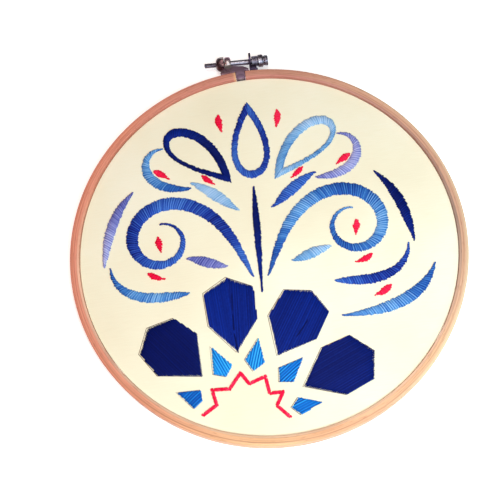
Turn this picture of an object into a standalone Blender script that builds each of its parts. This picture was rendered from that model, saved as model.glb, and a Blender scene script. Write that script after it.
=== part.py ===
"""Embroidered cotton stretched in a split wooden hoop that a screw clamps shut.

Metres, +Z out of the stitched face, +Y towards the clamp screw. The hoop's back lies on z = 0,
and x = y = 0 is the middle of the whole outline, so the rings stand a little below it.
The rings, the cotton and the clamp are one body. The clamp screw turns about its own length.
"""

import math
from collections import namedtuple

import bmesh
import bpy
from mathutils import Matrix, Vector

MM = 0.001
GAP = 0.3 * MM  # left between pieces that touch

# The two rings of bent wood. The outer one is split at +Y.
HOOP_RADIUS = 105.0 * MM
HOOP_WALL = 5.0 * MM
HOOP_DEPTH = 9.0 * MM
HOOP_SPLIT = 5.6 * MM
INNER_WALL = 4.4 * MM
OUTER_ROUND = 1.5 * MM  # rounded front edge on the outer wall
EDGE_ROUND = 0.7 * MM
RING_STEPS = 96

# The cotton runs over the inner ring and down between the two rings to its trimmed edge.
CLOTH_THICK = 1.0 * MM
CLOTH_RECESS = 1.8 * MM  # from the outer ring's face down to the cloth's
CLOTH_TRIM = 0.5 * MM
CLOTH_RADIUS = HOOP_RADIUS - HOOP_WALL - GAP
CLOTH_TOP = HOOP_DEPTH - CLOTH_RECESS
INNER_RADIUS = CLOTH_RADIUS - CLOTH_THICK - GAP
INNER_DEPTH = CLOTH_TOP - CLOTH_THICK - GAP

# The clamp. Its screw crosses the split outside the outer ring, a few degrees askew, because the
# brackets are riveted to bent wood by hand. Places along the screw are measured from the split.
SCREW_OUT = 7.7 * MM  # the screw's axis beyond the ring's outer wall
SCREW_HEIGHT = 4.8 * MM
SCREW_SKEW = math.radians(-3.6)
SCREW_RADIUS = 1.4 * MM  # over its thread
SHANK_RADIUS = 1.6 * MM  # of its plain length, from the head into the lug
BORE_RADIUS = 1.8 * MM  # of the holes in both brackets
NUT_BORE_RADIUS = 1.6 * MM
SCREW_TAIL = -19.4 * MM
SCREW_STEPS = 20
METAL = 1.2 * MM  # sheet metal of the two brackets
STRAP_BOTTOM = 1.2 * MM
STRAP_TOP = 8.2 * MM
LUG_RADIUS = 3.9 * MM
EAR_RADIUS = 3.9 * MM  # of its round top, which stands above the screw's axis
EAR_RISE = 1.4 * MM
NUT_RADIUS = 4.4 * MM  # to its corners
NUT_TURN = math.radians(15)
LEFT_STRAP = (-11.0 * MM, 5.1 * MM)
RIGHT_STRAP = (5.7 * MM, 10.2 * MM)
LUG = (-7.9 * MM, -4.3 * MM)
EAR = (6.0 * MM, 7.2 * MM)
NUT = (-12.7 * MM, LUG[0] - GAP)
SHANK_END = LUG[0] + GAP
HEAD_START = EAR[1] + GAP
HEAD_END = HEAD_START + 9.4 * MM
TONGUE_HALF = HOOP_SPLIT / 2 - GAP
TONGUE_INNER = CLOTH_RADIUS + 2 * GAP
TONGUE_TOP = 8.7 * MM

# Half way between the ring's foot and the tip of the ear, which reaches furthest out.
EAR_TIP = SCREW_OUT + EAR[1] * math.sin(SCREW_SKEW) + EAR_RISE + EAR_RADIUS
RING_Y = -EAR_TIP / 2
SCREW_PLACE = Matrix.Translation((0, HOOP_RADIUS + SCREW_OUT, SCREW_HEIGHT)) @ Matrix.Rotation(
    SCREW_SKEW, 4, "Z"
)

# Stitching stands on the cloth, at its full real height where it is widest.
STITCH_FOOT = CLOTH_TOP + GAP
STITCH_RISE = 0.9 * MM
STITCH_EDGE = 0.35 * MM
STROKE_TIP = 0.5 * MM  # width of a stroke's pointed end
STROKE_STEP = 3.5  # mm
STAR_WIDTH = 1.8 * MM

# The ten-fold rosette's centre, from the rings' centre. Half of it fits above the hoop's foot.
ROSETTE = Vector((-24.0 * MM, -87.0 * MM))
Petal = namedtuple("Petal", "axis tip near near_spread far far_spread point")
PETALS = (
    Petal(130, 30.0, 49.3, 17.0, 63.2, 11.5, 68.5),
    Petal(90, 32.5, 49.9, 14.5, 67.3, 11.1, 73.0),
    Petal(54, 34.2, 52.5, 15.0, 68.0, 10.8, 72.7),
    Petal(18, 32.0, 51.1, 15.2, 66.4, 11.0, 72.4),
)
Kite = namedtuple("Kite", "axis near side spread far")
KITES = (
    Kite(153, 23.5, 26.5, 10.6, 37.0),
    Kite(109, 22.1, 26.7, 11.0, 39.7),
    Kite(73, 22.6, 28.3, 10.0, 39.8),
    Kite(37, 23.5, 29.0, 10.0, 40.8),
    Kite(1, 23.0, 27.4, 9.0, 38.5),
)
STAR_OUTER = 21.7 * MM
STAR_INNER = 15.9 * MM
STAR_ANGLES = (-11, 9, 24, 35, 56, 77, 90, 114, 135, 152, 171)

# The leafy spray above it is laid out across and up from its root, on a slightly tilted axis.
# Lengths are in mm, headings in degrees on the right-hand side, and bends in degrees per mm.
SPRAY_ROOT = Vector((-7.0 * MM, -28.0 * MM))
SPRAY_TILT = -4.0
Stroke = namedtuple("Stroke", "name across up heading length bend end_bend widest peak right left")
STROKES = (
    Stroke("scroll", 4, 12, 68, 158, 0.15, -5.7, 7.0, 0.42, "mid", "royal"),
    Stroke("blade", 9, 50, 38, 31, 0.6, -1.6, 6.0, 0.5, "royal", "sky"),
    Stroke("curl", 34, 65, 2, 47, 0.4, 7.6, 5.2, 0.42, "periwinkle", "mid"),
    Stroke("rim_leaf", 82, 24, 96, 46, 0.3, 1.5, 5.4, 0.5, "navy", "periwinkle"),
    Stroke("low_leaf", 38, 6, -4, 50, -0.4, 4.2, 5.2, 0.4, "royal", "mid"),
    Stroke("leaflet", 17, 19, 12, 22, 1.2, -1.2, 5.4, 0.5, "sky", "periwinkle"),
    Stroke("stem", 0, 3, 90, 60, 0, 0, 3.6, 0.6, "navy", None),
    Stroke("sweep", 40.1, -13.2, 2, 60, 0.1, 2.2, 6.2, 0.55, "mid", None),
    Stroke("eye_bud", 51.7, 30, 80, 9, 0, 0, 3.4, 0.6, "red", "red"),
    Stroke("blade_bud", 20.8, 66.0, 41, 9, 0, 0, 3.0, 0.6, "red", "red"),
    Stroke("tip_bud", 15, 97, 72, 11, 2, 2, 3.6, 0.6, "red", "red"),
    Stroke("curl_bud", 45.5, 71.5, 44, 10, -2, -2, 3.6, 0.6, "red", "red"),
    Stroke("low_bud", 50, 15, 8, 10, 3, 3, 3.2, 0.6, "red", "red"),
    Stroke("sweep_bud", 57.5, -4.0, 16, 11, 2, 2, 3.6, 0.6, "red", None),
)
Leaf = namedtuple("Leaf", "name across up axis length breadth curl point end near far right left")
LEAVES = (
    Leaf("wing", 12.0, 66.5, 55, 47, 23, -26, 7.0, 4.0, 2.4, 5.4, "sky", "navy"),
    Leaf("crown", 0, 114, -90, 46, 23, 0, 7.0, 4.2, 3.4, 3.4, "royal", None),
)
LEAF_STEPS = 30

Finish = namedtuple("Finish", "colour roughness metallic")
FINISHES = {
    "beech": Finish((0.72, 0.36, 0.20), 0.55, 0.0),
    "beech_inner": Finish((0.78, 0.52, 0.32), 0.6, 0.0),
    "cotton": Finish((0.93, 0.87, 0.70), 0.9, 0.0),
    "navy": Finish((0.010, 0.018, 0.15), 0.45, 0.0),
    "royal": Finish((0.025, 0.08, 0.42), 0.45, 0.0),
    "mid": Finish((0.06, 0.22, 0.60), 0.45, 0.0),
    "sky": Finish((0.16, 0.42, 0.78), 0.45, 0.0),
    "periwinkle": Finish((0.20, 0.22, 0.58), 0.45, 0.0),
    "turquoise": Finish((0.02, 0.30, 0.78), 0.45, 0.0),
    "red": Finish((0.80, 0.01, 0.06), 0.45, 0.0),
    "steel": Finish((0.22, 0.18, 0.22), 0.35, 1.0),
    "bronze": Finish((0.16, 0.09, 0.06), 0.4, 1.0),
}


def clear_scene():
    for obj in list(bpy.data.objects):
        bpy.data.objects.remove(obj, do_unlink=True)


def make_collections():
    """The part's own collection, and one for the shapes that only cut or join."""
    found = []
    for name in ("Embroidery hoop", "Tools"):
        collection = bpy.data.collections.new(name)
        bpy.context.scene.collection.children.link(collection)
        found.append(collection)
    return found


def make_materials():
    made = {}
    for name, finish in FINISHES.items():
        material = bpy.data.materials.new(name)
        material.use_nodes = True
        shader = material.node_tree.nodes["Principled BSDF"]
        shader.inputs["Base Color"].default_value = (*finish.colour, 1)
        shader.inputs["Roughness"].default_value = finish.roughness
        shader.inputs["Metallic"].default_value = finish.metallic
        made[name] = material
    return made


clear_scene()
PART, TOOLS = make_collections()
MATERIALS = make_materials()
HOOP = bpy.data.objects.new("hoop_centre", None)
HOOP.location = (0, RING_Y, 0)
PART.objects.link(HOOP)


def add_object(name, shape, finish=None):
    """An object of the bmesh, under the empty at the rings' centre. With no finish it is a tool."""
    mesh = bpy.data.meshes.new(name)
    shape.to_mesh(mesh)
    shape.free()
    obj = bpy.data.objects.new(name, mesh)
    obj.parent = HOOP
    if finish is None:
        TOOLS.objects.link(obj)
        obj.hide_render = True
        obj.display_type = "WIRE"
    else:
        PART.objects.link(obj)
        mesh.materials.append(MATERIALS[finish])
    return obj


def combine(obj, tool, operation):
    modifier = obj.modifiers.new(operation.title() + " " + tool.name, "BOOLEAN")
    modifier.operation = operation
    modifier.object = tool
    modifier.solver = "EXACT"


def box(name, low, high, finish=None, place=Matrix.Identity(4)):
    shape = bmesh.new()
    size = Vector(high) - Vector(low)
    middle = (Vector(high) + Vector(low)) / 2
    bmesh.ops.create_cube(
        shape, size=1, matrix=place @ Matrix.Translation(middle) @ Matrix.Diagonal((*size, 1))
    )
    return add_object(name, shape, finish)


def rod(name, radius, start, end, steps=24, finish=None, rise=0.0, turn=0.0):
    """A round or many-sided rod along the screw's axis, or raised from it away from the ring."""
    shape = bmesh.new()
    place = SCREW_PLACE @ Matrix.Translation(((start + end) / 2, rise, 0))
    lying = Matrix.Rotation(turn, 4, "X") @ Matrix.Rotation(math.pi / 2, 4, "Y")
    bmesh.ops.create_cone(
        shape,
        cap_ends=True,
        segments=steps,
        radius1=radius,
        radius2=radius,
        depth=end - start,
        matrix=place @ lying,
    )
    return add_object(name, shape, finish)


def root(name, start, end, half):
    """A block of sheet metal from the strap up to the screw's axis."""
    low = (start, METAL / 2 - SCREW_OUT, -half)
    return box(name, low, (end, 0, half), place=SCREW_PLACE)


def plate(name, outline, bottom, top, finish=None):
    """A flat sheet of the outline, given as (x, y) corners anticlockwise."""
    shape = bmesh.new()
    base = shape.faces.new([shape.verts.new((x, y, bottom)) for x, y in outline])
    grown = bmesh.ops.extrude_face_region(shape, geom=[base])["geom"]
    raised = [part for part in grown if isinstance(part, bmesh.types.BMVert)]
    bmesh.ops.translate(shape, verts=raised, vec=(0, 0, top - bottom))
    bmesh.ops.recalc_face_normals(shape, faces=shape.faces)
    return add_object(name, shape, finish)


def strap(name, start, end, finish=None, steps=6):
    """A strip of sheet metal from x = start to end that hugs the outer ring's wall."""
    shape = bmesh.new()
    bmesh.ops.create_cube(shape, size=1)
    crossing = [edge for edge in shape.edges if abs(edge.verts[0].co.x - edge.verts[1].co.x) > 0.5]
    bmesh.ops.subdivide_edges(shape, edges=crossing, cuts=steps - 1, use_grid_fill=True)
    radius = HOOP_RADIUS + GAP
    for vert in shape.verts:
        x = start + (vert.co.x + 0.5) * (end - start)
        reach = radius + (vert.co.y + 0.5) * METAL
        height = STRAP_BOTTOM + (vert.co.z + 0.5) * (STRAP_TOP - STRAP_BOTTOM)
        vert.co = (x, math.sqrt(reach**2 - x**2), height)
    return add_object(name, shape, finish)


def rounded_outline(corners):
    """The closed outline through (x, y, radius, steps) corners, with each radius as an arc."""
    points = []
    for index, (x, y, radius, steps) in enumerate(corners):
        corner = Vector((x, y))
        back = (Vector(corners[index - 1][:2]) - corner).normalized()
        ahead = (Vector(corners[(index + 1) % len(corners)][:2]) - corner).normalized()
        half = back.angle(ahead) / 2
        centre = corner + (back + ahead).normalized() * radius / math.sin(half)
        reach = radius / math.tan(half)
        first = corner + back * reach - centre
        last = corner + ahead * reach - centre
        sweep = (last.angle_signed(first) if radius else 0.0)
        for step in range(steps + 1 if radius else 1):
            share = step / steps if radius else 0
            points.append(centre + Matrix.Rotation(sweep * share, 2) @ first)
    return points


def turned(name, profile, steps, finish, closed=True):
    """A solid of revolution about z. The profile runs outwards along the top and down outside."""
    shape = bmesh.new()
    verts = [shape.verts.new((radius, 0, height)) for radius, height in profile]
    for first, second in zip(verts, verts[1:] + verts[:1] if closed else verts[1:]):
        shape.edges.new((first, second))
    obj = add_object(name, shape, finish)
    screw = obj.modifiers.new("Turn", "SCREW")
    screw.axis = "Z"
    screw.steps = screw.render_steps = steps
    screw.use_merge_vertices = True
    screw.merge_threshold = 0.01 * MM
    screw.use_smooth_shade = True
    return obj


def make_outer_hoop():
    inner = HOOP_RADIUS - HOOP_WALL
    profile = rounded_outline(
        (
            (inner, HOOP_DEPTH, EDGE_ROUND, 2),
            (HOOP_RADIUS, HOOP_DEPTH, OUTER_ROUND, 3),
            (HOOP_RADIUS, 0, EDGE_ROUND, 1),
            (inner, 0, EDGE_ROUND, 1),
        )
    )
    hoop = turned("outer_hoop", profile, RING_STEPS, "beech")
    low = (-HOOP_SPLIT / 2, inner - HOOP_WALL, -HOOP_DEPTH)
    high = (HOOP_SPLIT / 2, HOOP_RADIUS + HOOP_WALL, 2 * HOOP_DEPTH)
    combine(hoop, box("split_cutter", low, high), "DIFFERENCE")


def make_inner_hoop():
    inner = INNER_RADIUS - INNER_WALL
    profile = rounded_outline(
        (
            (inner, INNER_DEPTH, EDGE_ROUND, 1),
            (INNER_RADIUS, INNER_DEPTH, EDGE_ROUND, 1),
            (INNER_RADIUS, 0, EDGE_ROUND, 1),
            (inner, 0, EDGE_ROUND, 1),
        )
    )
    turned("inner_hoop", profile, RING_STEPS, "beech_inner")


def make_cloth():
    """One cut piece: its face over the inner ring, and its edge down between the rings."""
    under = CLOTH_TOP - CLOTH_THICK
    inside = CLOTH_RADIUS - CLOTH_THICK
    fold = CLOTH_THICK * 0.8
    shoulder = [
        (CLOTH_RADIUS - fold + fold * math.sin(turn), CLOTH_TOP - fold + fold * math.cos(turn))
        for turn in (0, math.pi / 6, math.pi / 3, math.pi / 2)
    ]
    edge = [(CLOTH_RADIUS, CLOTH_TRIM), (inside, CLOTH_TRIM)]
    profile = [(0, CLOTH_TOP), *shoulder, *edge, (inside, under), (0, under)]
    turned("cotton_ground", profile, RING_STEPS, "cotton", closed=False)


def make_left_bracket():
    """Carries the nut, bridges the split and fills it with a tongue."""
    wall = HOOP_RADIUS + GAP
    outline = [
        (LEFT_STRAP[0], math.sqrt(wall**2 - LEFT_STRAP[0] ** 2)),
        (0.0, wall),
        (LEFT_STRAP[1], wall),
        (LEFT_STRAP[1], HOOP_RADIUS + 1.5 * MM),
        (2.2 * MM, HOOP_RADIUS + 3.3 * MM),
        (LUG[1], HOOP_RADIUS + 4.4 * MM),
        (LUG[0], HOOP_RADIUS + 4.3 * MM),
        (LEFT_STRAP[0], HOOP_RADIUS + 1.0 * MM),
    ]
    bracket = plate("clamp_bracket_left", outline, STRAP_TOP - METAL, STRAP_TOP, "steel")
    combine(bracket, strap("left_strap", *LEFT_STRAP), "UNION")
    low = (-TONGUE_HALF, TONGUE_INNER, STRAP_BOTTOM)
    high = (TONGUE_HALF, HOOP_RADIUS + METAL, TONGUE_TOP)
    combine(bracket, box("tongue", low, high), "UNION")
    combine(bracket, root("lug_root", *LUG, LUG_RADIUS * 0.8), "UNION")
    lug = rod("lug", LUG_RADIUS, *LUG)
    bevel = lug.modifiers.new("Rounded rim", "BEVEL")
    bevel.width = 1.1 * MM
    bevel.segments = 2
    combine(bracket, lug, "UNION")
    bore = rod("left_bore", BORE_RADIUS, LUG[0] - METAL, LUG[1] + METAL, SCREW_STEPS)
    combine(bracket, bore, "DIFFERENCE")


def make_right_bracket():
    """A thin ear that the screw's head bears on, with its foot on the ring's wall."""
    bracket = rod("clamp_bracket_right", EAR_RADIUS, *EAR, finish="steel", rise=EAR_RISE)
    combine(bracket, strap("right_strap", *RIGHT_STRAP), "UNION")
    combine(bracket, root("ear_root", *EAR, EAR_RADIUS * 0.9), "UNION")
    gusset = [
        (EAR[0] + METAL / 4, HOOP_RADIUS + METAL / 2),
        (9.8 * MM, HOOP_RADIUS + METAL / 2),
        (9.4 * MM, HOOP_RADIUS + 2.8 * MM),
        (EAR[0] + METAL / 4, HOOP_RADIUS + 3.4 * MM),
    ]
    middle = SCREW_HEIGHT + METAL
    combine(bracket, plate("gusset", gusset, middle, middle + 2 * METAL), "UNION")
    bore = rod("right_bore", BORE_RADIUS, EAR[0] - METAL, EAR[1] + METAL, SCREW_STEPS)
    combine(bracket, bore, "DIFFERENCE")


def make_nut():
    """A hexagonal nut, turned down to a dome at its outer end."""
    nut = rod("clamp_nut", NUT_RADIUS, *NUT, steps=6, finish="bronze", turn=NUT_TURN)
    length = NUT[1] - NUT[0]
    dome = [
        (0, NUT[1] + METAL),
        (NUT_RADIUS * 1.1, NUT[1] + METAL),
        (NUT_RADIUS, NUT[1] - length * 0.3),
        (NUT_RADIUS * 0.94, NUT[0] + length * 0.42),
        (NUT_RADIUS * 0.79, NUT[0] + length * 0.17),
        (NUT_RADIUS * 0.55, NUT[0]),
        (0, NUT[0]),
    ]
    combine(nut, turned_on_screw("nut_dome", dome), "INTERSECT")
    bore = rod("nut_bore", NUT_BORE_RADIUS, NUT[0] - METAL, NUT[1] + METAL, SCREW_STEPS)
    combine(nut, bore, "DIFFERENCE")


def turned_on_screw(name, profile, finish=None):
    """A solid of revolution about the screw's axis, as (radius, place) from its right-hand end."""
    obj = turned(name, profile, SCREW_STEPS, finish, closed=False)
    obj.matrix_local = SCREW_PLACE @ Matrix.Rotation(math.pi / 2, 4, "Y")
    return obj


def make_screw():
    """Thumb screw, about its own axis: a collar, a flange, a groove, a slotted end, a plain shank."""
    profile = [
        (0, HEAD_END),
        (2.6 * MM, HEAD_END),
        (2.95 * MM, HEAD_END - 0.4 * MM),
        (2.95 * MM, HEAD_START + 7.2 * MM),
        (2.6 * MM, HEAD_START + 7.0 * MM),
        (2.6 * MM, HEAD_START + 6.7 * MM),
        (3.3 * MM, HEAD_START + 6.5 * MM),
        (3.6 * MM, HEAD_START + 6.1 * MM),
        (3.6 * MM, HEAD_START + 3.9 * MM),
        (3.05 * MM, HEAD_START + 3.6 * MM),
        (3.05 * MM, HEAD_START + 0.3 * MM),
        (2.8 * MM, HEAD_START),
        (SHANK_RADIUS, HEAD_START),
        (SHANK_RADIUS, SHANK_END),
        (SCREW_RADIUS, SHANK_END - GAP / 2),
        (SCREW_RADIUS, SCREW_TAIL + 0.5 * MM),
        (SCREW_RADIUS - 0.4 * MM, SCREW_TAIL),
        (0, SCREW_TAIL),
    ]
    screw = turned_on_screw("clamp_screw", profile, "steel")
    low = (HEAD_END - 0.9 * MM, -NUT_RADIUS, -0.5 * MM)
    high = (HEAD_END + METAL, NUT_RADIUS, 0.5 * MM)
    combine(screw, box("driver_slot", low, high, place=SCREW_PLACE), "DIFFERENCE")


def stitched_pad(name, outline, finish):
    """A filled patch of satin stitch: its outline raised, with the top drawn in and domed."""
    shape = bmesh.new()
    base = shape.faces.new([shape.verts.new((*point, STITCH_FOOT)) for point in outline])
    grown = bmesh.ops.extrude_face_region(shape, geom=[base])["geom"]
    raised = [part for part in grown if isinstance(part, bmesh.types.BMVert)]
    bmesh.ops.translate(shape, verts=raised, vec=(0, 0, STITCH_EDGE))
    top = [part for part in grown if isinstance(part, bmesh.types.BMFace)]
    rise = STITCH_RISE - STITCH_EDGE
    bmesh.ops.recalc_face_normals(shape, faces=shape.faces)
    bmesh.ops.inset_region(shape, faces=top, thickness=1.2 * MM, depth=rise)
    return add_object(name, shape, finish)


def sides_of(centreline):
    """At each point, the sideways direction that mitres the two runs that meet there."""
    found = []
    for index, point in enumerate(centreline):
        before = centreline[max(index - 1, 0)]
        after = centreline[min(index + 1, len(centreline) - 1)]
        runs = [run.normalized() for run in (point - before, after - point) if run.length]
        ahead = sum(runs, Vector((0, 0))).normalized()
        found.append(Vector((-ahead.y, ahead.x)) / ahead.dot(runs[0]))
    return found


def edges_along(centreline, widths):
    """The pair of edge points at each step of a line of stitching that wide."""
    pairs = []
    for point, side, width in zip(centreline, sides_of(centreline), widths):
        pairs.append((point + side * width / 2, point - side * width / 2))
    return pairs


def stitched_ribbon(name, edges, finish, closed=False):
    """A line of satin stitch between two edges, domed from one to the other."""
    shape = bmesh.new()
    sections = []
    for near, far in edges:
        crown = min(STITCH_RISE, STITCH_EDGE + 0.2 * (far - near).length)
        section = []
        for share, height in ((0, 0), (0.03, STITCH_EDGE), (0.5, crown), (0.97, STITCH_EDGE), (1, 0)):
            section.append(shape.verts.new((*near.lerp(far, share), STITCH_FOOT + height)))
        sections.append(section)
    for first, second in zip(sections, sections[1:] + sections[:1] if closed else sections[1:]):
        for index in range(len(first)):
            following = (index + 1) % len(first)
            shape.faces.new((first[index], first[following], second[following], second[index]))
    if not closed:
        shape.faces.new(sections[0])
        shape.faces.new(reversed(sections[-1]))
    bmesh.ops.recalc_face_normals(shape, faces=shape.faces)
    return add_object(name, shape, finish)


def polar(radius, degrees):
    """The point that far from the rosette's centre, in mm, on that bearing."""
    angle = math.radians(degrees)
    return ROSETTE + Vector((math.cos(angle), math.sin(angle))) * radius * MM


def make_rosette():
    for number, petal in enumerate(PETALS, 1):
        outline = [
            polar(petal.tip, petal.axis),
            polar(petal.near, petal.axis - petal.near_spread),
            polar(petal.far, petal.axis - petal.far_spread),
            polar(petal.point, petal.axis),
            polar(petal.far, petal.axis + petal.far_spread),
            polar(petal.near, petal.axis + petal.near_spread),
        ]
        stitched_pad(f"petal_{number}", outline, "navy")
    for number, kite in enumerate(KITES, 1):
        outline = [
            polar(kite.near, kite.axis),
            polar(kite.side, kite.axis - kite.spread),
            polar(kite.far, kite.axis),
            polar(kite.side, kite.axis + kite.spread),
        ]
        stitched_pad(f"kite_{number}", outline, "turquoise")
    radii = (STAR_OUTER / MM, STAR_INNER / MM)
    line = [polar(radii[index % 2], angle) for index, angle in enumerate(STAR_ANGLES)]
    stitched_ribbon("star_line", edges_along(line, [STAR_WIDTH] * len(line)), "red")


def spray_place(across, up):
    tilt = Matrix.Rotation(math.radians(SPRAY_TILT), 2)
    return SPRAY_ROOT + tilt @ Vector((across, up)) * MM


def stroke_centreline(stroke, side, steps):
    """A curve whose bend grows evenly along its length. Side -1 mirrors it about the axis."""
    run = stroke.length / steps
    across, up = stroke.across, stroke.up
    points = [spray_place(across * side, up)]
    for step in range(steps):
        share = (step + 0.5) / steps
        turn = stroke.bend * share + (stroke.end_bend - stroke.bend) * share**2 / 2
        heading = math.radians(stroke.heading + turn * stroke.length)
        across += run * math.cos(heading)
        up += run * math.sin(heading)
        points.append(spray_place(across * side, up))
    return points


def stroke_widths(stroke, steps):
    """From one pointed end to the other, widest at the peak's share of the length."""
    power = math.log(0.5) / math.log(stroke.peak)
    widths = []
    for step in range(steps + 1):
        swell = math.sin(math.pi * (step / steps) ** power)
        widths.append(max(STROKE_TIP, stroke.widest * MM * max(swell, 0) ** 0.85))
    return widths


def leaf_place(leaf, side, along, out):
    """A place on the leaf, measured along its axis, which is bent into an arc, and out from it."""
    axis = math.radians(leaf.axis)
    if leaf.curl:
        radius = leaf.length / math.radians(leaf.curl)
        turn = along / radius
        along, out = (radius - out) * math.sin(turn), radius - (radius - out) * math.cos(turn)
    across = leaf.across + along * math.cos(axis) - out * math.sin(axis)
    up = leaf.up + along * math.sin(axis) + out * math.cos(axis)
    return spray_place(across * side, up)


def leaf_edges(leaf, side):
    """An open leaf, pointed where it starts: its outline, and the smaller opening inside."""
    pairs = []
    for step in range(LEAF_STEPS):
        turn = 2 * math.pi * step / LEAF_STEPS
        along = (1 - math.cos(turn)) / 2
        out = 0.575 * math.sin(turn) * math.sin(turn / 2) ** 0.9
        opening = leaf.length - leaf.point - leaf.end
        shift = (leaf.near - leaf.far) / 2 * math.sin(math.pi * min(along + 0.2, 1) / 2)
        outer = leaf_place(leaf, side, leaf.length * along, leaf.breadth * out)
        room = leaf.breadth - leaf.near - leaf.far
        inner = leaf_place(leaf, side, leaf.point + opening * along, room * out + shift)
        pairs.append((outer, inner))
    return pairs


def make_spray():
    for stroke in STROKES:
        steps = max(8, round(stroke.length / STROKE_STEP))
        for side, word, finish in ((1, "right", stroke.right), (-1, "left", stroke.left)):
            if finish:
                centreline = stroke_centreline(stroke, side, steps)
                edges = edges_along(centreline, stroke_widths(stroke, steps))
                stitched_ribbon(f"{stroke.name}_{word}", edges, finish)
    for leaf in LEAVES:
        for side, word, finish in ((1, "right", leaf.right), (-1, "left", leaf.left)):
            if finish:
                stitched_ribbon(f"{leaf.name}_{word}", leaf_edges(leaf, side), finish, closed=True)


make_outer_hoop()
make_inner_hoop()
make_cloth()
make_left_bracket()
make_right_bracket()
make_nut()
make_screw()
make_rosette()
make_spray()
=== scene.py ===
"""Embroidered cotton in a wooden hoop: the thread, cloth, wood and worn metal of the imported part.

Lengths in the tables are in millimetres from the middle of the rings, +Y towards the clamp screw
and +Z out of the stitched face. They become metres in the part's frame when a mesh is made.
"""

import math
import random
from collections import namedtuple
from functools import partial

import bpy
import numpy as np
from mathutils import Matrix, Vector


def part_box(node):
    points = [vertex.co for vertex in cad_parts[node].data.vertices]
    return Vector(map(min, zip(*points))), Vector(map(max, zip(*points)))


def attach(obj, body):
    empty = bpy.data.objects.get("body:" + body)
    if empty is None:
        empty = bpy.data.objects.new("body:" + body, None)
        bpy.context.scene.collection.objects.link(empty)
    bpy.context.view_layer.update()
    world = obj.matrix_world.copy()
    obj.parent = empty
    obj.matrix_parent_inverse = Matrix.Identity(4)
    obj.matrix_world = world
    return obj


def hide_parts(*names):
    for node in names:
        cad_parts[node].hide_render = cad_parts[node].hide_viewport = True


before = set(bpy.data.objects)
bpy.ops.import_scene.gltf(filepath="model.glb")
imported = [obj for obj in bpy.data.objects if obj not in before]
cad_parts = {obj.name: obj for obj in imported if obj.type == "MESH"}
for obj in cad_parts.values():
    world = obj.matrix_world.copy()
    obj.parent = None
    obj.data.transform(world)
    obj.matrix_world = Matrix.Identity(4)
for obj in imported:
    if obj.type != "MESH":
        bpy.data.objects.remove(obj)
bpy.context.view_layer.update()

MM = 0.001
HOOP_BODY = "hoop"
SCREW_BODY = "screw"
low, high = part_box("inner_hoop")
CENTRE = (Vector(low) + Vector(high)) / 2
CENTRE.z = 0.0

add_to_scene = bpy.context.scene.collection.objects.link

# The wooden rings and the cloth, as in the CAD.
HOOP_RADIUS, HOOP_WALL, HOOP_DEPTH, SPLIT = 105.0, 5.0, 9.0, 5.6
INNER_RADIUS, INNER_WALL, INNER_DEPTH = 98.4, 4.4, 5.9
CLOTH_TOP, CLOTH_THICK, CLOTH_RADIUS, CLOTH_TRIM = 7.2, 1.0, 99.85, 0.5

# -------- materials


def colour(code):
    """Linear RGBA from an sRGB hex colour."""
    parts = [int(code[place : place + 2], 16) / 255 for place in (1, 3, 5)]
    return (*[(c / 12.92 if c <= 0.04045 else ((c + 0.055) / 1.055) ** 2.4) for c in parts], 1.0)


def add_node(tree, kind, links=None, out=0, **settings):
    """One output of a new node. Links give its inputs, by name or index, a value or a socket."""
    node = tree.nodes.new("ShaderNode" + kind)
    for name, value in settings.items():
        setattr(node, name, value)
    for key, value in (links or {}).items():
        socket = node.inputs[key]
        if isinstance(value, bpy.types.NodeSocket):
            tree.links.new(value, socket)
        else:
            socket.default_value = value
    return node.outputs[out]


def set_ramp(output, stops):
    """Gives a colour ramp its stops, as (place, hex colour or grey value)."""
    ramp = output.node.color_ramp
    while len(ramp.elements) > 1:
        ramp.elements.remove(ramp.elements[-1])
    for index, (place, value) in enumerate(stops):
        stop = ramp.elements[0] if index == 0 else ramp.elements.new(place)
        stop.position = place
        stop.color = colour(value) if isinstance(value, str) else (value, value, value, 1)
    return output


def new_material(name, **values):
    """A material, what adds nodes to it, the place on it, and its shader with the values."""
    material = bpy.data.materials.new(name)
    material.use_nodes = True
    shader = material.node_tree.nodes["Principled BSDF"]
    for key, value in values.items():
        shader.inputs[key.replace("_", " ")].default_value = value
    add = partial(add_node, material.node_tree)
    return material, add, add("TexCoord", out="Object"), shader


def feed(shader, **patterns):
    """Links a pattern to each of the shader's inputs that is named."""
    for key, socket in patterns.items():
        shader.id_data.links.new(socket, shader.inputs[key.replace("_", " ")])


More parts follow.
